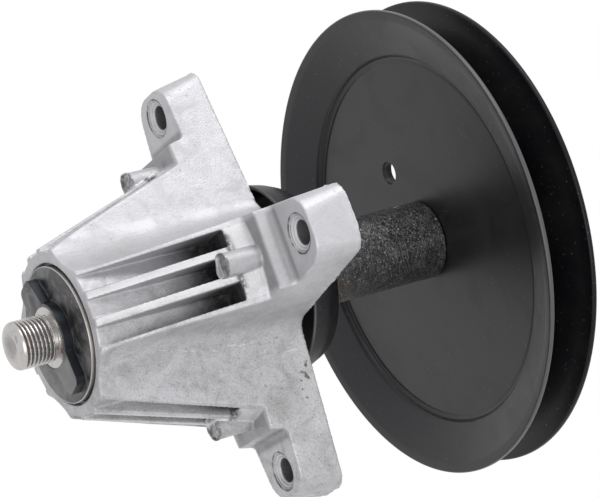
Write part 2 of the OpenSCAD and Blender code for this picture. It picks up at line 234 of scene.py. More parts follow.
def mesh_piece(name, vertices, faces, merge=0.0):
    """A mesh object at the origin. Its normals point outwards after its doubles are merged."""
    mesh = bpy.data.meshes.new(name)
    mesh.from_pydata(vertices.tolist(), [], faces)
    work = bmesh.new()
    work.from_mesh(mesh)
    if merge:
        bmesh.ops.remove_doubles(work, verts=work.verts, dist=merge)
    bmesh.ops.recalc_face_normals(work, faces=work.faces)
    work.to_mesh(mesh)
    work.free()
    return add_object(name, mesh)


def merged_copy(node, name):
    """A copy of a CAD node with its loose triangles joined and its flat faces made whole."""
    work = bmesh.new()
    work.from_mesh(NODES[node].data)
    bmesh.ops.remove_doubles(work, verts=work.verts, dist=0.002 * MM)
    bmesh.ops.dissolve_limit(work, angle_limit=np.radians(0.6), verts=work.verts, edges=work.edges)
    mesh = bpy.data.meshes.new(name)
    work.to_mesh(mesh)
    work.free()
    return add_object(name, mesh)


def settle_modifiers(piece):
    """Puts what the modifiers make into the piece's own mesh."""
    graph = bpy.context.evaluated_depsgraph_get()
    mesh = bpy.data.meshes.new_from_object(piece.evaluated_get(graph))
    old = piece.data
    piece.modifiers.clear()
    piece.data = mesh
    bpy.data.meshes.remove(old)
    if not len(mesh.polygons):
        raise RuntimeError(f"{piece.name} has no faces left")


def smooth_over(piece, angle):
    """Smooth shading, with edges kept sharp where two faces meet at more than this angle."""
    piece.data.shade_smooth()
    piece.data.set_sharp_from_angle(angle=np.radians(angle))


def bevelled(piece, width, angle=30, segments=3):
    bevel = piece.modifiers.new("Rounded edges", "BEVEL")
    set_values(bevel, width=width, segments=segments, angle_limit=np.radians(angle), limit_method="ANGLE")
    bevel.use_clamp_overlap = True
    settle_modifiers(piece)


def place(piece, nodes, material, body):
    """Gives a finished piece its material and puts it in the place of its CAD nodes."""
    piece.data.materials.clear()
    piece.data.materials.append(material)
    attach(piece, body)
    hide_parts(*nodes)


def finish_node(node, material):
    NODES[node].data.materials.clear()
    NODES[node].data.materials.append(material)


def top_of(node):
    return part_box(node)[1].z


def bottom_of(node):
    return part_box(node)[0].z


def radius_of(node):
    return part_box(node)[1].x


# Materials

class Nodes:
    """Short calls for building a material or a group of shader nodes."""

    def __init__(self, tree):
        self.tree = tree

    def feed(self, socket, value):
        """Links a socket to another node's, or sets its own number, vector or colour."""
        if isinstance(value, bpy.types.NodeSocket):
            self.tree.links.new(value, socket)
        elif socket.type == "RGBA" and len(value) == 3:
            socket.default_value = (*value, 1.0)
        else:
            socket.default_value = value

    def add(self, kind, inputs=(), **settings):
        node = set_values(self.tree.nodes.new(kind), **settings)
        for name, value in dict(inputs).items():
            self.feed(node.inputs[name], value)
        return node

    def math(self, operation, a, b=0.0, clamp=False):
        return self.add("ShaderNodeMath", {0: a, 1: b}, operation=operation, use_clamp=clamp).outputs[0]

    def vector(self, operation, a, b=(0, 0, 0)):
        """A vector sum, or the number that a dot product or a length gives."""
        node = self.add("ShaderNodeVectorMath", {0: a, 1: b}, operation=operation)
        return node.outputs["Value" if operation in ("DOT_PRODUCT", "LENGTH") else "Vector"]

    def scaled(self, vector, factor):
        return self.add("ShaderNodeVectorMath", {0: vector, "Scale": factor}, operation="SCALE").outputs[0]

    def noise(self, place, scale, detail, output="Fac", **others):
        inputs = {"Vector": place, "Scale": scale, "Detail": detail, **others}
        return self.add("ShaderNodeTexNoise", inputs).outputs[output]

    def swing(self, place, scale, detail, amount):
        """A number that wanders from place to place, at most half the amount to either side of 0."""
        return self.math("MULTIPLY", self.math("SUBTRACT", self.noise(place, scale, detail), 0.5), amount)

    def between(self, value, low, high, to_low=0.0, to_high=1.0):
        """Maps a value from one span to another, clamped and eased."""
        spans = {"Value": value, "From Min": low, "From Max": high, "To Min": to_low, "To Max": to_high}
        return self.add("ShaderNodeMapRange", spans, interpolation_type="SMOOTHSTEP").outputs["Result"]

    def falling(self, value, low, high):
        """1 up to a level and 0 from a higher one on."""
        return self.between(value, low, high, 1.0, 0.0)

    def line(self, value, at, width):
        """1 where a value is at a level, falling to 0 at half a width to either side."""
        away = self.math("ABSOLUTE", self.math("SUBTRACT", value, at))
        return self.falling(away, width * 0.2, width * 0.5)

    def rest(self, mask):
        """What a mask leaves over."""
        return self.math("SUBTRACT", 1.0, mask)

    def any(self, *masks):
        """The strongest of several masks."""
        strongest = masks[0]
        for mask in masks[1:]:
            strongest = self.math("MAXIMUM", strongest, mask)
        return strongest

    def all(self, *masks):
        """The product of several masks or shares."""
        product = masks[0]
        for mask in masks[1:]:
            product = self.math("MULTIPLY", product, mask)
        return product

    def mix(self, factor, a, b):
        """A colour between two, which are the sixth and seventh inputs of the node when it mixes colours."""
        return self.add("ShaderNodeMix", {0: factor, 6: a, 7: b}, data_type="RGBA").outputs[2]


def blotches(n, given):
    """A soft-edged mask of uneven blotches: noise, cut between two levels."""
    scale = n.math("DIVIDE", 1.0, given["Size"])
    uneven = n.noise(given["Place"], scale, given["Detail"], Roughness=0.6, Distortion=given["Twist"])
    return n.between(uneven, given["Low"], given["High"])


def scratches(n, given):
    """A mask of thin wandering lines: where a stretched noise passes through its middle value."""
    stretched = n.vector("MULTIPLY", given["Place"], given["Stretch"])
    wave = n.noise(stretched, 1.0, 1.0, Distortion=0.6)
    distance = n.math("ABSOLUTE", n.math("SUBTRACT", wave, 0.5))
    thin = n.rest(n.between(distance, 0.0, given["Width"]))
    threshold = n.rest(given["Amount"])
    shown = n.between(n.noise(given["Place"], 90.0, 2.0), threshold, n.math("ADD", threshold, 0.12))
    return n.all(thin, shown)


def beyond(n, given):
    """A mask that is 1 beyond a radius from the shaft's axis, with an uneven edge."""
    length = n.vector("LENGTH", n.vector("MULTIPLY", given["Place"], (1, 1, 0)))
    radius = n.math("ADD", length, n.swing(given["Place"], 260.0, 5.0, given["Unevenness"]))
    return n.between(radius, given["Radius"], n.math("ADD", given["Radius"], given["Width"]))


def grain(n, given):
    """A height of fine grain over coarse lumps."""
    fine = n.noise(given["Place"], n.math("DIVIDE", 1.0, given["Fine"]), 4.0)
    coarse = n.noise(given["Place"], n.math("DIVIDE", 1.0, given["Coarse"]), 3.0)
    return n.math("ADD", fine, n.all(coarse, given["Coarse share"]))


def stroke(n, given):
    """A mask along a short stroke between two places, with a ragged edge and a wandering way.

    The nearest place on the stroke is start + t (end - start), where t is the place's share of the way
    along, kept between 0 and 1. The mask is 1 on the stroke and 0 beyond its width.
    """
    drift = n.noise(given["Place"], 340.0, 0.0, output="Color")
    aside = n.scaled(n.vector("SUBTRACT", drift, (0.5, 0.5, 0.5)), given["Wander"])
    way = n.vector("SUBTRACT", n.vector("ADD", given["Place"], aside), given["Start"])
    span = n.vector("SUBTRACT", given["End"], given["Start"])
    share = n.math("DIVIDE", n.vector("DOT_PRODUCT", way, span), n.vector("DOT_PRODUCT", span, span), clamp=True)
    distance = n.vector("LENGTH", n.vector("SUBTRACT", way, n.scaled(span, share)))
    distance = n.math("ADD", distance, n.swing(given["Place"], 900.0, 3.0, given["Raggedness"]))
    return n.falling(distance, n.all(given["Width"], 0.4), given["Width"])


def turning(n, given):
    """A height of fine tool rings: noise that changes only with the radius and the height along the shaft."""
    radius = n.vector("LENGTH", n.vector("MULTIPLY", given["Place"], (1, 1, 0)))
    height = n.add("ShaderNodeSeparateXYZ", {"Vector": given["Place"]}).outputs["Z"]
    ring = n.add("ShaderNodeCombineXYZ", {"X": radius, "Z": height}).outputs[0]
    return n.noise(ring, n.math("DIVIDE", 1.0, given["Spacing"]), 3.0)


# The function that builds each shader group, what the group gives, and its inputs after Place
GROUPS = {
    "Blotches": (blotches, "Mask", {"Size": 5 * MM, "Detail": 5.0, "Low": 0.4, "High": 0.6, "Twist": 0.4}),
    "Scratches": (scratches, "Mask", {"Stretch": (40.0, 40.0, 400.0), "Width": 0.006, "Amount": 0.5}),
    "Beyond radius": (beyond, "Mask", {"Radius": 10 * MM, "Width": 0.5 * MM, "Unevenness": 0.0}),
    "Grain": (grain, "Height", {"Fine": 0.4 * MM, "Coarse": 3 * MM, "Coarse share": 0.5}),
    "Stroke": (stroke, "Mask", {
        "Start": (0, 0, 0), "End": (1, 0, 0), "Width": 1 * MM, "Raggedness": 0.0, "Wander": 0.0}),
    "Turning marks": (turning, "Height", {"Spacing": 0.3 * MM}),
}


def shader_group(name):
    """The shader node group of that name, which is made when it is first asked for."""
    if name in bpy.data.node_groups:
        return bpy.data.node_groups[name]
    build, output, inputs = GROUPS[name]
    tree = bpy.data.node_groups.new(name, "ShaderNodeTree")
    tree.interface.new_socket("Place", in_out="INPUT", socket_type="NodeSocketVector")
    for label, default in inputs.items():
        kind = "NodeSocketVector" if isinstance(default, tuple) else "NodeSocketFloat"
        tree.interface.new_socket(label, in_out="INPUT", socket_type=kind).default_value = default
    tree.interface.new_socket(output, in_out="OUTPUT", socket_type="NodeSocketFloat")
    given, result = tree.nodes.new("NodeGroupInput"), tree.nodes.new("NodeGroupOutput")
    tree.links.new(build(Nodes(tree), given.outputs), result.inputs[output])
    return tree


def times(values, factor):
    return tuple(factor * value for value in values)


class Finish:
    """A material under construction: its shader, its object coordinates, its colour so far and its groups."""

    def __init__(self, name):
        self.material = bpy.data.materials.new(name)
        self.material.use_nodes = True
        self.nodes = Nodes(self.material.node_tree)
        self.shader = self.material.node_tree.nodes["Principled BSDF"]
        self.place = self.nodes.add("ShaderNodeTexCoord").outputs["Object"]
        self.colour = None

    def over(self, mask, colour):
        """Lays a colour over the colour so far."""
        self.colour = self.nodes.mix(mask, self.colour, colour)

    def done(self, metal, roughness, height, depth):
        """The material, once its shader has its colour, metal, roughness and a bump of some height and depth."""
        bump = self.nodes.add("ShaderNodeBump", {"Height": height, "Strength": 1.0, "Distance": depth})
        for name, value in (
            ("Base Color", self.colour), ("Metallic", metal), ("Roughness", roughness), ("Normal", bump.outputs[0])
        ):
            self.nodes.feed(self.shader.inputs[name], value)
        return self.material

    def group(self, name, **inputs):
        given = {"Place": self.place, **{key.replace("_", " "): value for key, value in inputs.items()}}
        return self.nodes.add("ShaderNodeGroup", given, node_tree=shader_group(name)).outputs[0]

    def blotches(self, size, low, high, detail=5.0, twist=0.4):
        return self.group("Blotches", Size=size, Low=low, High=high, Detail=detail, Twist=twist)

    def scratches(self, stretch, width, amount):
        return self.group("Scratches", Stretch=stretch, Width=width, Amount=amount)

    def beyond(self, radius, width=0.4 * MM, unevenness=0.0):
        return self.group("Beyond radius", Radius=radius, Width=width, Unevenness=unevenness)

    def stroke(self, start, end, width, raggedness=0.0, wander=0.0):
        """A mask along a stroke whose places are given in millimetres."""
        return self.group(
            "Stroke", Start=times(start, MM), End=times(end, MM), Width=width * MM, Raggedness=raggedness * MM,
            Wander=wander * MM)

    def strokes(self, lines, width, raggedness, wander):
        """A mask along lines, each of which goes through a row of places."""
        return self.nodes.any(*(
            self.stroke(start, end, width, raggedness, wander) for line in lines for start, end in zip(line, line[1:])))

    def turning(self, spacing):
        return self.group("Turning marks", Spacing=spacing)

    def grain(self, fine, coarse, share):
        return self.group("Grain", Fine=fine, Coarse=coarse, Coarse_share=share)

    def axes(self):
        return self.nodes.add("ShaderNodeSeparateXYZ", {"Vector": self.place}).outputs

    def folded(self):
        """The place folded onto one arm: how far it lies from the axis along X and along Y, and its height."""
        x, y, z = self.axes()
        return self.nodes.math("ABSOLUTE", x), self.nodes.math("ABSOLUTE", y), z

    def along_arm(self):
        """How far out along the nearest arm the place lies, how far to the arm's side, and its height."""
        x, y, z = self.folded()
        out = self.nodes.all(self.nodes.math("ADD", x, y), np.sqrt(0.5))
        return out, self.nodes.all(self.nodes.math("ABSOLUTE", self.nodes.math("SUBTRACT", x, y)), np.sqrt(0.5)), z

    def height_band(self, low, high, soft):
        """1 between two heights along the shaft, with soft ends."""
        z = self.axes()["Z"]
        return self.nodes.all(
            self.nodes.between(z, low - soft, low), self.nodes.falling(z, high, high + soft))


def begin(name):
    """A new finish, its node calls and the colours that the add-on keeps."""
    f = Finish(name)
    return f, f.nodes, finishes()


def cast_aluminium():
    """Die-cast aluminium as it leaves the mould.

    It is pale, with dull patches and fine specks that grow stronger towards one side, sooty and with painted
    shade in the grooves between the ribs, with a painted highlight on the ribs' tops and painted shade under the
    lugs and in the bolt holes, turned bright round the bolt holes, and scratched and stained in places.
    """
    f, n, colours = begin("Cast aluminium")
    pale, dull = colours.aluminium, colours.aluminium_dark
    # Marks, stains, pits and scratches grow stronger towards the side opposite the camera's up
    marked_side = n.between(n.vector("DOT_PRODUCT", f.place, (-0.436, -0.874, -0.216)), -18 * MM, 22 * MM, 0.24, 1.0)
    tones = f.blotches(24 * MM, 0.38, 0.64, detail=3.0)
    clouds = f.blotches(8 * MM, 0.38, 0.70, detail=9.0, twist=0.8)
    specks = f.blotches(0.6 * MM, 0.44, 0.68, detail=3.0)
    pits = f.blotches(1.2 * MM, 0.67, 0.73, detail=3.0)
    stains_wide = f.blotches(11 * MM, 0.52, 0.72, detail=6.0, twist=1.2)
    marks = n.math("ADD", n.all(clouds, 0.40), n.all(specks, 0.38))
    f.colour = n.mix(n.all(tones, 0.14), pale, dull)
    f.over(n.all(marks, marked_side), dull)
    f.over(n.all(stains_wide, marked_side, 0.22), (0.20, 0.17, 0.125))
    f.over(n.all(pits, marked_side, 0.4), colours.soil)
    # Painted shade under the lugs, and dark blotches on the stubs' torn ends
    f.over(n.all(corner_shade(f), 0.5), (0.13, 0.13, 0.13))
    hollow, rib_top_highlight, grooves = casting_hollows(f)
    # Painted highlight on the ribs' tops and on the ledge beyond the grooves' ends
    f.over(n.all(rib_top_highlight, 0.7), (0.74, 0.74, 0.76))
    # Sooty skin in the grooves, with painted shade that deepens towards their closed ends
    f.over(hollow, colours.hollow)
    turned_ring, ring_lines, drilled_shade = bolt_rings(f)
    patchy = f.blotches(5 * MM, 0.40, 0.58, detail=4.0)
    f.over(n.all(turned_ring, 0.35), (0.66, 0.66, 0.68))
    # Dark tool lines in the turned faces; the outer, wider line is painted shade of the step's wall
    f.over(n.all(ring_lines, n.math("ADD", n.all(patchy, 0.7), 0.25)), (0.06, 0.06, 0.065))
    # Painted shade on the walls of the bolt holes
    f.over(n.all(drilled_shade, 0.8), (0.055, 0.054, 0.052))
    scratches = n.all(f.scratches((70.0, 70.0, 130.0), 0.010, 0.44), marked_side, n.rest(grooves), 0.5)
    long_scratches = f.strokes((
        ((-28.0, -1.74, -28.54), (-28.6, -2.38, -17.72), (-30.06, -5.4, -14.85), (-30.02, -4.88, -11.3)),
        ((-32.62, -8.26, -9.64), (-31.85, -7.02, -8.2), (-33.56, -8.37, -0.88)),
        ((-27.05, 3.01, -54.93), (-27.9, -2.09, -31.99))), 0.26, 0.0, 2.2)
    f.over(n.any(scratches, n.all(long_scratches, 0.6)), (0.74, 0.73, 0.74))
    stains = [f.stroke(start, end, width, width * 1.6, 2.0) for start, end, width in (
        ((-36.28, -12.77, -5.68), (-38.29, -15.08, -2.34), 0.6), ((-35.27, -10.89, -2.07), (-35.9, -11.9, -2.4), 0.9),
        ((-38.36, -15.56, -5.25), (-38.36, -15.6, -5.0), 0.6), ((-40.04, -17.89, -5.39), (-40.04, -17.9, -5.2), 0.5),
        ((-41.55, -19.94, -5.17), (-41.55, -20.0, -5.0), 0.45))]
    f.over(n.all(n.any(*stains), 0.8), colours.soil)
    roughness = n.math("ADD", n.between(clouds, 0.0, 1.0, 0.42, 0.55), n.all(hollow, 0.2))
    height = n.math("SUBTRACT", f.grain(0.6 * MM, 3.5 * MM, 1.0), n.any(n.all(pits, 0.8), n.all(ring_lines, 1.5)))
    return f.done(0.4, roughness, height, 0.10 * MM)


def corner_shade(f):
    """Painted shade under each lug, along the flat land and in the fillet above the step, and dark blotches, partly
    painted shade, on the stub's torn end.
    """
    n = f.nodes
    out, across, z = f.along_arm()
    land = n.all(
        n.between(z, LAND_Z - 2.8 * MM, LAND_Z - 0.1 * MM), n.falling(z, LAND_Z + 0.2 * MM, LAND_Z + 1.0 * MM),
        n.between(out, 40 * MM, 44 * MM))
    fillet = n.all(
        n.line(out, 51.9 * MM, 6.0 * MM), n.between(z, LUG_Z - 3.1 * MM, LUG_Z - 1.0 * MM),
        n.falling(z, LUG_Z + 0.6 * MM, LUG_Z + 0.8 * MM))
    torn = n.all(
        n.between(out, STUB_R - 1.7 * MM, STUB_R - 1.1 * MM), n.falling(z, STUB_Z + 0.2 * MM, STUB_Z + 0.4 * MM),
        f.blotches(1.8 * MM, 0.40, 0.56, detail=3.0))
    return n.all(n.any(land, fillet, n.all(torn, 1.5)), n.falling(across, 11.0 * MM, 13.0 * MM))


def casting_hollows(f):
    """Masks of the sooty skin and painted shade in the grooves, of the painted highlight on the ribs' tops and the
    ledge, and of the grooves.

    The sooty skin and painted shade grow with depth and towards the closed end. The ribs' tops lie on a cone whose
    radius is 50.9 mm at the deck seat and falls by 0.306 of the depth below it.
    """
    n = f.nodes
    out, across, z = f.along_arm()
    below = n.math("SUBTRACT", n.math("ADD", n.all(z, 0.306), 50.9 * MM), out)
    near_cone = n.between(below, -0.6 * MM, -0.3 * MM)
    in_grooves = n.all(n.falling(across, 11.8 * MM, 12.3 * MM), n.falling(z, LAND_Z - 0.2 * MM, LAND_Z))
    on_ledge = n.all(
        n.falling(below, 1.9 * MM, 2.4 * MM), n.between(z, GROOVE_END_Z - 0.2 * MM, GROOVE_END_Z + 0.2 * MM))
    depth = n.between(below, 0.3 * MM, 4.5 * MM)
    towards_end = n.math("POWER", n.between(z, -58 * MM, -30 * MM), 3.1)
    uneven = n.between(f.blotches(2.4 * MM, 0.30, 0.62, detail=5.0), 0.0, 1.0, 0.82, 1.0)
    end_wall = n.all(
        n.between(z, GROOVE_END_Z - 1.2 * MM, GROOVE_END_Z - 0.2 * MM), n.between(below, 0.0, 1.0 * MM), 0.92)
    spilled = n.all(
        n.between(z, GROOVE_END_Z - 1.7 * MM, GROOVE_END_Z - 0.4 * MM),
        n.falling(z, GROOVE_END_Z + 0.3 * MM, GROOVE_END_Z + 2.4 * MM),
        f.blotches(1.3 * MM, 0.38, 0.54, detail=4.0), n.falling(across, 9.5 * MM, 11.0 * MM), 0.7)
    # Sooty skin and painted shade: darker with depth and towards the closed end
    soot_and_shade = n.any(n.all(n.any(n.all(depth, towards_end, uneven), end_wall), n.rest(on_ledge)), n.all(spilled, near_cone))
    # Painted highlight along the ribs' tops, and at half strength on the ledge
    ridges = n.all(
        n.falling(below, 0.15 * MM, 0.6 * MM), n.falling(z, GROOVE_END_Z - 2.2 * MM, GROOVE_END_Z + 0.8 * MM))
    tops = n.all(n.any(ridges, n.all(on_ledge, 0.5)), near_cone, in_grooves)
    return n.all(soot_and_shade, in_grooves), tops, n.all(n.between(below, 0.3 * MM, 0.8 * MM), in_grooves)


def bolt_rings(f):
    """Masks of the turned face round each bolt hole, of the dark lines in it, the outer one widened into painted shade
    of the step's wall, and of painted shade on the hole's wall.
    """
    n = f.nodes
    x, y, z = f.folded()
    flat = n.add("ShaderNodeCombineXYZ", {
        "X": n.math("SUBTRACT", x, BOLT_XY), "Y": n.math("SUBTRACT", y, BOLT_XY)}).outputs[0]
    away = n.vector("LENGTH", flat)
    lower_face = n.falling(z, LUG_Z + 1.9 * MM, LUG_Z + 2.0 * MM)
    ring = n.all(n.falling(away, 6.3 * MM, 6.45 * MM), lower_face)
    lines = n.any(
        n.line(away, 6.45 * MM, 0.9 * MM), n.all(n.line(away, 5.75 * MM, 0.45 * MM), 0.6),
        n.all(n.line(away, 4.85 * MM, 0.35 * MM), 0.4))
    return ring, n.all(lines, lower_face), n.falling(away, 4.05 * MM, 4.2 * MM)


def black_paint(name, roughness, gloss, bare_from=None, rim_from=None, edge_z=None, worn_and_sheen=False, dust=0.0,
                tint=(0.98, 0.945, 1.0)):
    """Satin black coat with faint greyer blotches and sparse specks, and bare steel beyond a radius if given.

    It can also carry a film of dust, greyer clouds with a painted sheen on the bar's top and painted glints along
    its edges, and a painted highlight along an edge or round a rim.
    """
    f, n, colours = begin(name)
    bloom = f.blotches(14 * MM, 0.40, 0.72, detail=4.0, twist=0.5)
    specks = f.blotches(0.7 * MM, 0.735, 0.76, detail=1.0)
    f.colour = n.mix(n.all(bloom, 0.6), colours.paint, colours.paint_grey)
    f.over(n.all(specks, 0.7), (0.16, 0.155, 0.15))
    metal = 0.0
    if dust:
        film = f.blotches(3 * MM, 0.30, 0.65, detail=6.0)
        f.over(n.all(film, dust), (0.030, 0.029, 0.031))
    if worn_and_sheen:
        side = n.between(n.vector("DOT_PRODUCT", f.place, (-0.875, -0.485, 0.0)), 7 * MM, 12 * MM)
        # Painted sheen: a lighter top on the bar's lower lobe
        sheen_on_top = n.all(side, f.height_band(-79 * MM, -77.6 * MM, 0.1 * MM))
        cloud = f.blotches(6 * MM, 0.44, 0.62, detail=7.0, twist=1.0)
        f.over(n.all(sheen_on_top, n.between(cloud, 0.0, 1.0, 0.6, 1.0)), (0.20, 0.19, 0.185))
        f.over(n.all(cloud, 0.8), (0.105, 0.098, 0.100))
        # Painted glints along the bar's edges
        glints = f.strokes((
            ((12.4, 12.6, -76.4), (10.6, 12.0, -77.3)), ((9.2, 11.5, -77.4), (7.9, 11.1, -77.6)),
            ((3.6, 10.2, -77.8), (-2.5, 10.6, -77.8)), ((-9.8, 5.6, -77.8), (-12.6, 0.5, -77.8))), 0.35, 0.5, 0.8)
        f.over(n.all(glints, 0.55), (0.35, 0.36, 0.39))
    # Painted highlight: a lighter band along the lower edge
    if edge_z is not None:
        f.over(n.all(f.height_band(edge_z - 1 * MM, edge_z + 0.3 * MM, 0.12 * MM), 0.7), (0.14, 0.14, 0.145))
    # Painted highlight: a lighter line round the rim's edge
    if rim_from:
        rim = f.beyond(rim_from, width=0.1 * MM, unevenness=0.25 * MM)
        f.over(n.all(rim, 0.7), (0.12, 0.12, 0.125))
    if bare_from:
        bare = f.beyond(bare_from, width=0.12 * MM, unevenness=0.3 * MM)
        f.over(bare, (0.46, 0.44, 0.42))
        metal = bare
    f.shader.inputs["Specular IOR Level"].default_value = gloss
    f.shader.inputs["Specular Tint"].default_value = (*tint, 1.0)
    uneven = n.between(bloom, 0.0, 1.0, roughness, roughness + 0.07)
    return f.done(metal, uneven, f.grain(0.5 * MM, 4 * MM, 0.8), 0.008 * MM)


def turned_steel(name, colour_name="steel"):
    """Turned steel with fine tool rings and light stains."""
    f, n, colours = begin(name)
    base = getattr(colours, colour_name)
    stain = f.blotches(4 * MM, 0.42, 0.7, detail=5.0)
    f.colour = n.mix(n.all(stain, 0.5), base, times(base, 0.6))
    height = n.math("ADD", f.turning(0.25 * MM), f.grain(0.4 * MM, 3 * MM, 0.4))
    return f.done(1.0, n.between(stain, 0.0, 1.0, 0.26, 0.42), height, 0.012 * MM)


def shaft_steel(stud_r, stud_end, shoulder):
    """Turned steel of the shaft, darker in the thread's grooves, browner near the end, with painted shade in the end's
    dimple, and one rust spot.
    """
    f, n, colours = begin("Shaft steel")
    stain = f.blotches(3 * MM, 0.45, 0.72, detail=5.0)
    f.colour = n.mix(n.all(stain, 0.35), colours.steel, times(colours.steel, 0.6))
    on_stud = f.height_band(stud_end + 1.2 * MM, shoulder - 1.2 * MM, 0.2 * MM)
    groove = n.all(n.rest(f.beyond(stud_r - 0.72 * MM, width=0.34 * MM)), on_stud)
    near_end = f.height_band(stud_end, stud_end + 3.6 * MM, 1.4 * MM)
    patches = f.blotches(2.5 * MM, 0.36, 0.6, detail=4.0)
    # Darker in the thread's grooves
    f.over(n.all(groove, 0.72), (0.085, 0.078, 0.075))
    in_thread = n.all(groove, near_end, n.math("ADD", n.all(patches, 0.5), 0.4), 0.9)
    rusted = n.any(in_thread, f.stroke((-8.9, -0.1, -77.9), (-9.1, -0.3, -77.9), 1.3, 0.5))
    f.over(rusted, colours.rust)
    face = f.height_band(stud_end - 0.1 * MM, stud_end + 0.9 * MM, 0.1 * MM)
    smudges = n.any(
        n.all(f.stroke((-2.9, 5.2, -91.2), (-3.5, 4.2, -91.2), 1.1, 0.8), 0.5),
        n.all(f.stroke((1.0, -2.6, -91.0), (0.6, -3.0, -91.0), 0.9, 0.6), 0.4),
        n.all(f.stroke((-0.6, -3.2, -91.2), (-0.7, -3.5, -91.2), 0.6, 0.4), 0.6))
    # Painted shade: the middle of the end face darker, as in a dimple
    dimple_shade = n.rest(f.beyond(1.5 * MM, width=4.5 * MM, unevenness=1.0 * MM))
    f.over(n.all(n.any(smudges, n.all(dimple_shade, 0.62)), face), (0.20, 0.18, 0.18))
    roughness = n.math("ADD", n.between(stain, 0.0, 1.0, 0.26, 0.36), n.all(n.any(rusted, groove), 0.3))
    height = n.math("ADD", f.turning(0.3 * MM), f.grain(1.2 * MM, 4 * MM, 0.5))
    return f.done(n.rest(rusted), roughness, height, 0.004 * MM)


def dark_tube():
    """Dark steel sanded crosswise: short silver strokes and glints, stronger on the lit side as painted highlight,
    one painted white glint near the top, and a brown stain towards the cap.
    """
    f, n, colours = begin("Dark tube steel")
    dark = colours.steel_dark
    mottle = f.blotches(4 * MM, 0.38, 0.68, detail=6.0, twist=0.6)
    glints = f.blotches(0.6 * MM, 0.52, 0.66, detail=3.0)
    bright = f.blotches(0.8 * MM, 0.64, 0.70, detail=2.0)
    strokes = f.scratches((420.0, 420.0, 1500.0), 0.045, 0.66)
    low = top_of("dust_cap") + 6 * MM
    brown = n.all(f.height_band(low - 20 * MM, low, 12 * MM), f.blotches(9 * MM, 0.35, 0.62, detail=3.0), 0.7)
    f.colour = n.mix(n.all(mottle, 0.5), times(dark, 0.7), times(dark, 1.9))
    lit_side = n.between(n.vector("DOT_PRODUCT", f.place, (0.44, 0.87, 0.0)), -9 * MM, 9 * MM, 0.45, 1.0)
    # Painted highlight: silver glints and strokes stronger on the lit side
    f.over(n.all(n.any(n.all(glints, 0.6), n.all(strokes, 0.7)), lit_side), (0.46, 0.455, 0.47))
    f.over(n.all(bright, lit_side, 0.9), (0.85, 0.84, 0.86))
    f.over(brown, (0.085, 0.055, 0.036))
    # A painted glint near the tube's upper end
    f.over(f.stroke((4.7, 12.7, 58.2), (5.3, 12.5, 59.9), 0.55, 0.2), (0.95, 0.95, 0.95))
    f.over(f.stroke((-13.53, -0.73, 61.2), (-13.53, -0.75, 61.5), 0.5), (0.005, 0.005, 0.005))
    height = n.math("ADD", f.grain(0.35 * MM, 1.4 * MM, 0.7), n.all(strokes, 0.5))
    return f.done(0.9, n.between(glints, 0.0, 1.0, 0.44, 0.28), height, 0.10 * MM)


def seal_rubber():
    """Matt black rubber with a faint dusty grain."""
    f = Finish("Seal rubber")
    dust = f.blotches(1.5 * MM, 0.45, 0.8)
    f.colour = f.nodes.mix(dust, (0.012, 0.012, 0.013), (0.04, 0.038, 0.036))
    return f.done(0.0, 0.62, f.grain(0.3 * MM, 1.5 * MM, 0.5), 0.02 * MM)


# Pieces

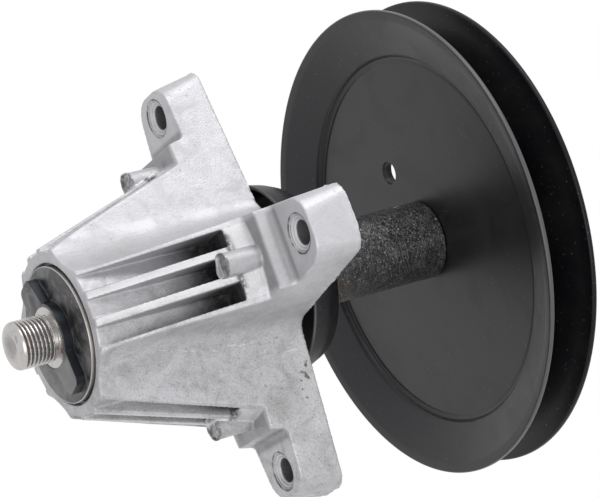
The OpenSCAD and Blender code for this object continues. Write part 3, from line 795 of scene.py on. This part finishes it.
class SPINDLE_OT_stage(bpy.types.Operator):
    """Sets the camera of the photograph, soft light all round and a pale floor."""

    bl_idname = "spindle.stage"
    bl_label = "Stage"

    def execute(self, context):
        self.camera(context.scene)
        self.sky(context.scene)
        centre = Vector((0, 0, (CAD_LOW.z + CAD_HIGH.z) / 2))
        above = CAMERA_UP * 0.95 + CAMERA_BACK * 0.3 + CAMERA_RIGHT * 0.2
        beside_camera = CAMERA_BACK * 1.0 - CAMERA_UP * 0.2 + CAMERA_RIGHT * 0.1
        self.lamp("Key lamp", centre + above, centre, 0.8, studio().key)
        self.lamp("Fill lamp", centre + beside_camera, centre, 0.8, studio().fill)
        self.lamp("Top lamp", centre + Vector((0.3, -0.3, 1.1)), centre, 0.9, studio().fill)
        self.floor()
        return {"FINISHED"}

    def camera(self, scene):
        camera = set_values(bpy.data.cameras.new("Camera"), lens=studio().lens, sensor_width=36.0, clip_start=0.01)
        holder = add_object("Camera", camera)
        turn = Matrix((CAMERA_RIGHT, CAMERA_UP, CAMERA_BACK)).transposed().to_4x4()
        holder.matrix_world = Matrix.Translation(CAMERA_PLACE) @ turn
        scene.camera = holder
        scene.view_settings.view_transform = "Standard"

    def sky(self, scene):
        """Even light, and pure white where the camera, a reflection or a view through glass goes past the object."""
        world = bpy.data.worlds.new("Studio")
        scene.world = world
        world.use_nodes = True
        world.node_tree.nodes.clear()
        n = Nodes(world.node_tree)
        path = n.add("ShaderNodeLightPath").outputs
        seen = n.any(path["Is Camera Ray"], path["Is Glossy Ray"], path["Is Transmission Ray"])
        light = n.add("ShaderNodeBackground", {"Color": (1, 1, 1, 1), "Strength": studio().sky})
        white = n.add("ShaderNodeBackground", {"Color": (1, 1, 1, 1), "Strength": 1.0})
        mixed = n.add("ShaderNodeMixShader", {0: seen, 1: light.outputs[0], 2: white.outputs[0]})
        n.add("ShaderNodeOutputWorld", {"Surface": mixed.outputs[0]})

    def lamp(self, name, position, target, size, power):
        light = set_values(bpy.data.lights.new(name, "AREA"), shape="DISK", size=size, energy=power)
        holder = add_object(name, light)
        facing = (position - target).to_track_quat("Z", "Y")
        holder.matrix_world = Matrix.Translation(position) @ facing.to_matrix().to_4x4()

    def floor(self):
        """A pale floor under the blade stud. It shows from above, and lets light and the view from below through."""
        half = 1.5
        z = CAD_LOW.z - 0.5 * MM
        corners = [[-half, -half, z], [half, -half, z], [half, half, z], [-half, half, z]]
        mesh = bpy.data.meshes.new("Floor")
        mesh.from_pydata(corners, [], [[0, 1, 2, 3]])
        floor = add_object("Floor", mesh)
        material = bpy.data.materials.new("Pale floor")
        material.use_nodes = True
        material.node_tree.nodes.clear()
        n = Nodes(material.node_tree)
        place = n.add("ShaderNodeTexCoord").outputs["Object"]
        colour = n.mix(n.noise(place, 40.0, 4.0), (0.80, 0.80, 0.80), (0.86, 0.86, 0.85))
        paper = n.add("ShaderNodeBsdfDiffuse", {"Color": colour})
        clear = n.add("ShaderNodeBsdfTransparent")
        behind = n.add("ShaderNodeNewGeometry").outputs["Backfacing"]
        straight = n.add("ShaderNodeLightPath").outputs["Is Camera Ray"]
        shown = n.all(straight, n.rest(behind))
        mixed = n.add("ShaderNodeMixShader", {0: shown, 1: clear.outputs[0], 2: paper.outputs[0]})
        n.add("ShaderNodeOutputMaterial", {"Surface": mixed.outputs[0]})
        mesh.materials.append(material)


class SPINDLE_OT_casting(bpy.types.Operator):
    """Makes the cast housing: the solid with the soft edges and slight waves of a casting."""

    bl_idname = "spindle.casting"
    bl_label = "Cast housing"

    def execute(self, context):
        piece = merged_copy("spindle_housing", "cast_housing")
        add = piece.modifiers.new
        waves = set_values(bpy.data.textures.new("Casting waves", "CLOUDS"), noise_scale=9 * MM, noise_depth=3)
        set_values(add("Even grid", "REMESH"), mode="VOXEL", voxel_size=shapes().casting_voxel)
        set_values(add("Soft edges", "SMOOTH"), factor=0.5, iterations=shapes().casting_softness)
        push = add("Cast waves", "DISPLACE")
        set_values(push, texture=waves, texture_coords="LOCAL", mid_level=0.5, strength=0.12 * MM)
        set_values(add("Fewer faces", "DECIMATE"), ratio=0.3)
        settle_modifiers(piece)
        self.parting_fin(piece)
        smooth_over(piece, 60)
        finish = cast_aluminium()
        place(piece, ["spindle_housing"], finish, "housing")
        self.flash(finish)
        return {"FINISHED"}

    def parting_fin(self, piece):
        """Pushes the arms' outline out along the deck seat, unevenly, as the mould's parting left it.

        Each point near the seat moves along its level normal by height * (noise above a level) * closeness,
        where closeness falls from 1 at the seat to 0 at 1.3 mm below it.
        """
        points = piece.data.vertices
        places, normals = vectors(points, "co"), vectors(points, "normal")
        barrel_r, fin_depth, fin_width, lump = 26 * MM, 1.3 * MM, 0.8 * MM, 2.3 * MM
        level = np.hypot(normals[:, 0], normals[:, 1])
        outside = np.hypot(places[:, 0], places[:, 1]) > barrel_r
        near = np.clip(1 + places[:, 2] / fin_depth, 0, 1)
        for index in np.nonzero((near > 0) & (level > 0.3) & outside)[0]:
            place = Vector(places[index] / lump)
            height = max(0.0, 0.7 * noise.noise(place) + noise.noise(place * 0.2) - 0.02)
            shift = fin_width * height * near[index] / level[index]
            places[index, :2] += normals[index, :2] * shift
        points.foreach_set("co", places.ravel())
        piece.data.update()

    def flash(self, finish):
        """Torn rims of metal round the ends of the four stubs.

        Each is a closed ring whose outer radius and height wander: r = r0 + sum of waves of the angle.
        """
        waves = np.random.default_rng(7)
        angles = full_turn(72)
        for index, turn in enumerate(np.radians([45, 135, 225, 315])):
            wander = sum(
                waves.uniform(0.3, 1.0) / count * np.sin(count * angles + waves.uniform(0, 2 * np.pi))
                for count in (2, 3, 5, 8, 9, 11, 13, 17))
            radius = 3.98 * MM + 0.22 * MM * wander
            one_side = 0.5 + 0.5 * np.cos(angles - np.radians(-34))
            drop = shapes().flash_height * (0.12 + one_side * np.clip(0.5 + 0.4 * wander, 0.0, 1.0))
            level = np.full(72, STUB_Z)
            rings = [radius * 0.9, radius + 0.15 * MM, radius + 0.1 * MM, radius * 0.93]
            heights = [level + 0.1 * MM, level + 0.25 * MM, level - drop, level - drop * 0.85]
            vertices = round_grid(np.stack(rings), np.stack(heights), angles)
            vertices[:, :2] += STUB_R * np.array([np.cos(turn), np.sin(turn)])
            piece = mesh_piece(f"stub_flash_{index}", vertices, grid_faces(4, 72, closed_rows=True))
            smooth_over(piece, 40)
            piece.data.materials.append(finish)
            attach(piece, "housing")


class SPINDLE_OT_shaft(bpy.types.Operator):
    """Makes the shaft with its thread at both ends."""

    bl_idname = "spindle.shaft"
    bl_label = "Shaft and threads"

    stud_r = 7.9375 * MM
    upper_r = 7.14375 * MM

    def execute(self, context):
        columns = 160
        angles = full_turn(columns)
        rows = self.rows()
        radius, height, threaded = rows.T
        phase = height[:, None] / shapes().thread_pitch - angles[None, :] / (2 * np.pi)
        ridge = np.clip(0.62 + 0.62 * np.cos(2 * np.pi * phase), 0, 1)
        r = radius[:, None] - threaded[:, None] * shapes().thread_depth * (1 - ridge)
        vertices = round_grid(r, height[:, None], angles)
        piece = mesh_piece("threaded_shaft", vertices, grid_faces(len(rows), columns, closed_rows=False), merge=1e-7)
        smooth_over(piece, 50)
        shoulder = bottom_of("blade_driver") + 0.1 * MM
        place(piece, ["spindle_shaft"], shaft_steel(self.stud_r, bottom_of("spindle_shaft"), shoulder), "rotor")
        return {"FINISHED"}

    def rows(self):
        """Rows of the shaft from its lower pole to its upper one, as (radius, height, thread's share of depth).

        The thread's rows are evenly spaced, twenty-four to a turn on the stud and twelve above. Its depth fades
        in behind the rounded end, and out before the smooth neck at the shoulder.
        """
        low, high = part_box("spindle_shaft")
        shaft_r = high.x
        stud_r, upper_r = self.stud_r, self.upper_r
        hole_r, hole_depth, chamfer = 3.0 * MM, 2.6 * MM, 1.1 * MM
        shoulder = bottom_of("blade_driver") + 0.1 * MM
        upper_shoulder = bottom_of("pulley_upper_half") - 3.4 * MM
        pitch = shapes().thread_pitch
        start, end = low.z + 1.7 * MM, shoulder - 1.5 * MM
        count = int((end - start) / pitch * 24)
        z = np.linspace(start, end, count)
        fade = np.clip((z - start) / (0.25 * pitch), 0, 1) * np.clip((end - z) / (0.5 * pitch), 0, 1)
        stud = np.stack([np.full(count, stud_r), z, fade], axis=1)
        nut_low, nut_high = bottom_of("pulley_nut"), top_of("pulley_nut")
        count = int((high.z - chamfer - nut_low) / pitch * 12)
        z = np.linspace(nut_low, high.z - chamfer, count)
        fade = np.clip((z - nut_high + pitch) / pitch, 0, 1)
        top = np.stack([np.full(count, upper_r), z, fade], axis=1)
        dish = [[r * MM, low.z + depth * MM, 0] for r, depth in (
            (0, 0.75), (1.4, 0.66), (2.6, 0.42), (3.6, 0.18), (4.4, 0.04), (4.9, 0.0), (5.5, 0.03))]
        around = np.radians(np.linspace(15, 75, 6))
        edge_r = stud_r - 2.1 * MM + 2.05 * MM * np.sin(around)
        edge = np.stack([edge_r, start - 1.66 * MM * np.cos(around), 0 * around], axis=1)
        neck_r = stud_r - 0.35 * MM
        neck = [[neck_r, end + 0.35 * MM, 0], [neck_r, shoulder - 0.25 * MM, 0], [stud_r + 0.1 * MM, shoulder, 0]]
        barrel = [[shaft_r, shoulder, 0], [shaft_r, upper_shoulder, 0], [upper_r, upper_shoulder, 0]]
        upper_end = [[upper_r - chamfer, high.z, 0], [hole_r, high.z, 0], [0, high.z - hole_depth, 0]]
        return np.concatenate([dish, edge, stud, neck, barrel, top, upper_end])


class SPINDLE_OT_driver(bpy.types.Operator):
    """Makes the blade driver with its rounded bar and bare edge."""

    bl_idname = "spindle.driver"
    bl_label = "Blade driver"

    def execute(self, context):
        piece = merged_copy("blade_driver", "black_blade_driver")
        bevelled(piece, shapes().edge_radius)
        smooth_over(piece, 40)
        edge = radius_of("blade_driver") - 0.35 * MM
        coat = black_paint("Driver black", 0.34, 0.7, bare_from=edge, worn_and_sheen=True, tint=(0.93, 0.95, 1.0))
        place(piece, ["blade_driver"], coat, "rotor")
        # The bar's sides get a less glossy copy of the coat: painted shade
        piece.data.materials.append(black_paint("Driver side black", 0.30, 0.30, tint=(0.75, 0.85, 1.0)))
        self.darken_sides(piece)
        return {"FINISHED"}

    def darken_sides(self, piece):
        """Gives the second material, a less glossy and bluer copy of the coat that paints shade, to the bar's upright
        sides, between the disc's face and the bar's top.
        """
        faces = piece.data.polygons
        normals, centres = vectors(faces, "normal"), vectors(faces, "center")
        bar_height, bore_edge_r = 3.3 * MM, 10.3 * MM
        on_bar = centres[:, 2] < bottom_of("blade_driver") + bar_height
        outside = np.hypot(centres[:, 0], centres[:, 1]) > bore_edge_r
        upright = np.abs(normals[:, 2]) < 0.8
        faces.foreach_set("material_index", (on_bar & outside & upright).astype(np.int32))


class SPINDLE_OT_cap(bpy.types.Operator):
    """Makes the pressed dust cap and the dark tube above it."""

    bl_idname = "spindle.cap"
    bl_label = "Dust cap and tube"

    def execute(self, context):
        self.cap()
        self.tube()
        return {"FINISHED"}

    def cap(self):
        """The cap's section: a rim, a wall that leans in more towards the top, and a flat top, of one sheet."""
        low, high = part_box("dust_cap")
        sheet = 1.2 * MM
        tube_r = radius_of("pulley_spacer_tube")
        rim_r, waist_r, top_r = high.x - 0.5 * MM, high.x - 1.7 * MM, high.x - 4.2 * MM
        waist_z = low.z + 6 * MM
        outline = rounded(
            [[rim_r, low.z], [waist_r, waist_z], [top_r, high.z], [tube_r, high.z], [tube_r, high.z - sheet],
             [top_r - 0.9 * sheet, high.z - sheet], [waist_r - 1.05 * sheet, waist_z], [rim_r - sheet, low.z]],
            [0.4 * MM, 12 * MM, 4.2 * MM, 0.3 * MM, 0.3 * MM, 3.0 * MM, 12 * MM, 0.4 * MM])
        piece = mesh_piece("black_dust_cap", *turned(outline))
        smooth_over(piece, 40)
        place(piece, ["dust_cap"], black_paint("Cap black", 0.42, 0.4, edge_z=low.z, dust=0.3), "rotor")

    def tube(self):
        low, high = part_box("pulley_spacer_tube")
        bore = radius_of("spindle_shaft")
        chamfer = 0.6 * MM
        outline = rounded(
            [[bore, low.z], [high.x, low.z], [high.x, high.z], [bore, high.z]],
            [0, 0.3 * MM, chamfer, 0])
        piece = mesh_piece("dark_spacer_tube", *turned(outline, steps=128))
        smooth_over(piece, 40)
        place(piece, ["pulley_spacer_tube"], dark_tube(), "rotor")


class SPINDLE_OT_pulley(bpy.types.Operator):
    """Makes both stampings of the pulley, with bent creases and rounded rims."""

    bl_idname = "spindle.pulley"
    bl_label = "Pulley"

    def execute(self, context):
        web_low = top_of("pulley_spacer_tube")
        middle = bottom_of("pulley_upper_half")
        outline = self.half_outline(bottom_of("pulley_lower_half"), web_low)
        finish = black_paint("Pulley black", 0.34, 0.44, rim_from=PULLEY_R - 0.35 * MM)
        # The upper half gets a less glossy copy of the coat, painted shade for its groove side
        shaded_upper_finish = black_paint("Upper pulley black", 0.36, 0.22)
        for name, node, flip in (
            ("black_pulley_lower_half", "pulley_lower_half", False),
            ("black_pulley_upper_half", "pulley_upper_half", True),
        ):
            profile = outline.copy()
            if flip:
                profile[:, 1] = bottom_of("pulley_nut") + web_low - profile[:, 1]
            piece = mesh_piece(name, *turned(profile, steps=256))
            self.drill(piece, web_low, middle)
            smooth_over(piece, 35)
            place(piece, [node], shaded_upper_finish if flip else finish, "rotor")
        return {"FINISHED"}

    def half_outline(self, rim_z, web_z):
        """The lower half's section: web, a shallow groove, crease, flange, bend and lip at one sheet thickness."""
        crease_r, bore_r, lip_w, lip_fall = 63.5 * MM, 7.204 * MM, 3.4 * MM, 0.6 * MM
        crease = np.array([crease_r, web_z])
        bend = np.array([PULLEY_R - lip_w, rim_z + lip_fall])
        flange = np.arctan2(web_z - bend[1], bend[0] - crease_r)
        lip = np.arctan2(lip_fall, lip_w)
        mean, half = (flange + lip) / 2, (flange - lip) / 2
        groove = [[crease_r - 1.3 * MM, web_z], [crease_r + 0.5 * MM, web_z + 0.45 * MM]]
        corners = [
            [bore_r, web_z], *groove, crease + [1.5 * MM, -1.8 * MM], bend, [PULLEY_R, rim_z],
            [PULLEY_R, rim_z + SHEET / np.cos(lip)],
            bend + SHEET / np.cos(half) * np.array([np.sin(mean), np.cos(mean)]),
            crease + SHEET * np.array([np.tan(flange / 2), 1]), [bore_r, web_z + SHEET]]
        outer = shapes().crease_radius + SHEET
        lip_r = shapes().lip_radius
        radii = [0, 3.0 * MM, 1.2 * MM, 2.2 * MM, lip_r + SHEET, 0.7 * MM, 0.85 * MM, 8 * lip_r, outer, 0]
        return rounded(corners, radii)

    def drill(self, piece, low, high):
        """Cuts the small round hole through the web."""
        hole_r, out, turn = 4.1 * MM, 27.9 * MM, np.radians(32)
        heights = np.array([[low - 5 * MM], [high + 5 * MM]])
        vertices = round_grid(np.full((2, 1), hole_r), heights, full_turn(48))
        vertices[:, :2] += out * np.array([np.cos(turn), np.sin(turn)])
        ends = [list(range(47, -1, -1)), list(range(48, 96))]
        drill = mesh_piece("Drill", vertices, grid_faces(2, 48, closed_rows=False) + ends)
        set_values(piece.modifiers.new("Web hole", "BOOLEAN"), operation="DIFFERENCE", solver="EXACT", object=drill)
        settle_modifiers(piece)
        bpy.data.objects.remove(drill)


class SPINDLE_OT_nut(bpy.types.Operator):
    """Makes the flanged nut above the pulley."""

    bl_idname = "spindle.nut"
    bl_label = "Pulley nut"

    def execute(self, context):
        piece = merged_copy("pulley_nut", "flanged_pulley_nut")
        bevelled(piece, 0.25 * MM, segments=2)
        smooth_over(piece, 30)
        place(piece, ["pulley_nut"], turned_steel("Zinc plate"), "rotor")
        return {"FINISHED"}


class SPINDLE_OT_bearings(bpy.types.Operator):
    """Finishes the bearings' pieces and the spacer between them."""

    bl_idname = "spindle.bearings"
    bl_label = "Bearings"

    def execute(self, context):
        steel = turned_steel("Bearing steel")
        oily = turned_steel("Oily bearing steel", "steel_dark")
        rubber = seal_rubber()
        finish_node("bearing_spacer", steel)
        for end in ("lower", "upper"):
            finish_node(f"{end}_bearing_outer_race", oily)
            for piece in ("inner_race", "balls", "cage"):
                finish_node(f"{end}_bearing_{piece}", steel)
            for piece in ("outer_seal", "inner_seal"):
                finish_node(f"{end}_bearing_{piece}", rubber)
        return {"FINISHED"}


STEPS = (
    SPINDLE_OT_stage,
    SPINDLE_OT_casting,
    SPINDLE_OT_shaft,
    SPINDLE_OT_driver,
    SPINDLE_OT_cap,
    SPINDLE_OT_pulley,
    SPINDLE_OT_nut,
    SPINDLE_OT_bearings,
)


class SPINDLE_PT_panel(bpy.types.Panel):
    """Lists the steps that dress the spindle, with their sizes and colours."""

    bl_idname = "SPINDLE_PT_panel"
    bl_label = "Mower Deck Spindle"
    bl_space_type = "VIEW_3D"
    bl_region_type = "UI"
    bl_category = "Spindle"

    def draw(self, context):
        for step in STEPS:
            self.layout.operator(step.bl_idname)
        for group in (context.scene.spindle_shapes, context.scene.spindle_finishes, context.scene.spindle_studio):
            box = self.layout.box()
            for name in group.__annotations__:
                box.prop(group, name)


CLASSES = (SpindleShapes, SpindleFinishes, SpindleStudio, *STEPS, SPINDLE_PT_panel)


def register():
    for cls in CLASSES:
        bpy.utils.register_class(cls)
    bpy.types.Scene.spindle_shapes = PointerProperty(type=SpindleShapes)
    bpy.types.Scene.spindle_finishes = PointerProperty(type=SpindleFinishes)
    bpy.types.Scene.spindle_studio = PointerProperty(type=SpindleStudio)


def unregister():
    del bpy.types.Scene.spindle_studio
    del bpy.types.Scene.spindle_finishes
    del bpy.types.Scene.spindle_shapes
    for cls in reversed(CLASSES):
        bpy.utils.unregister_class(cls)


def main():
    register()
    for step in STEPS:
        group, name = step.bl_idname.split(".")
        getattr(getattr(bpy.ops, group), name)()


if __name__ == "__main__":
    main()
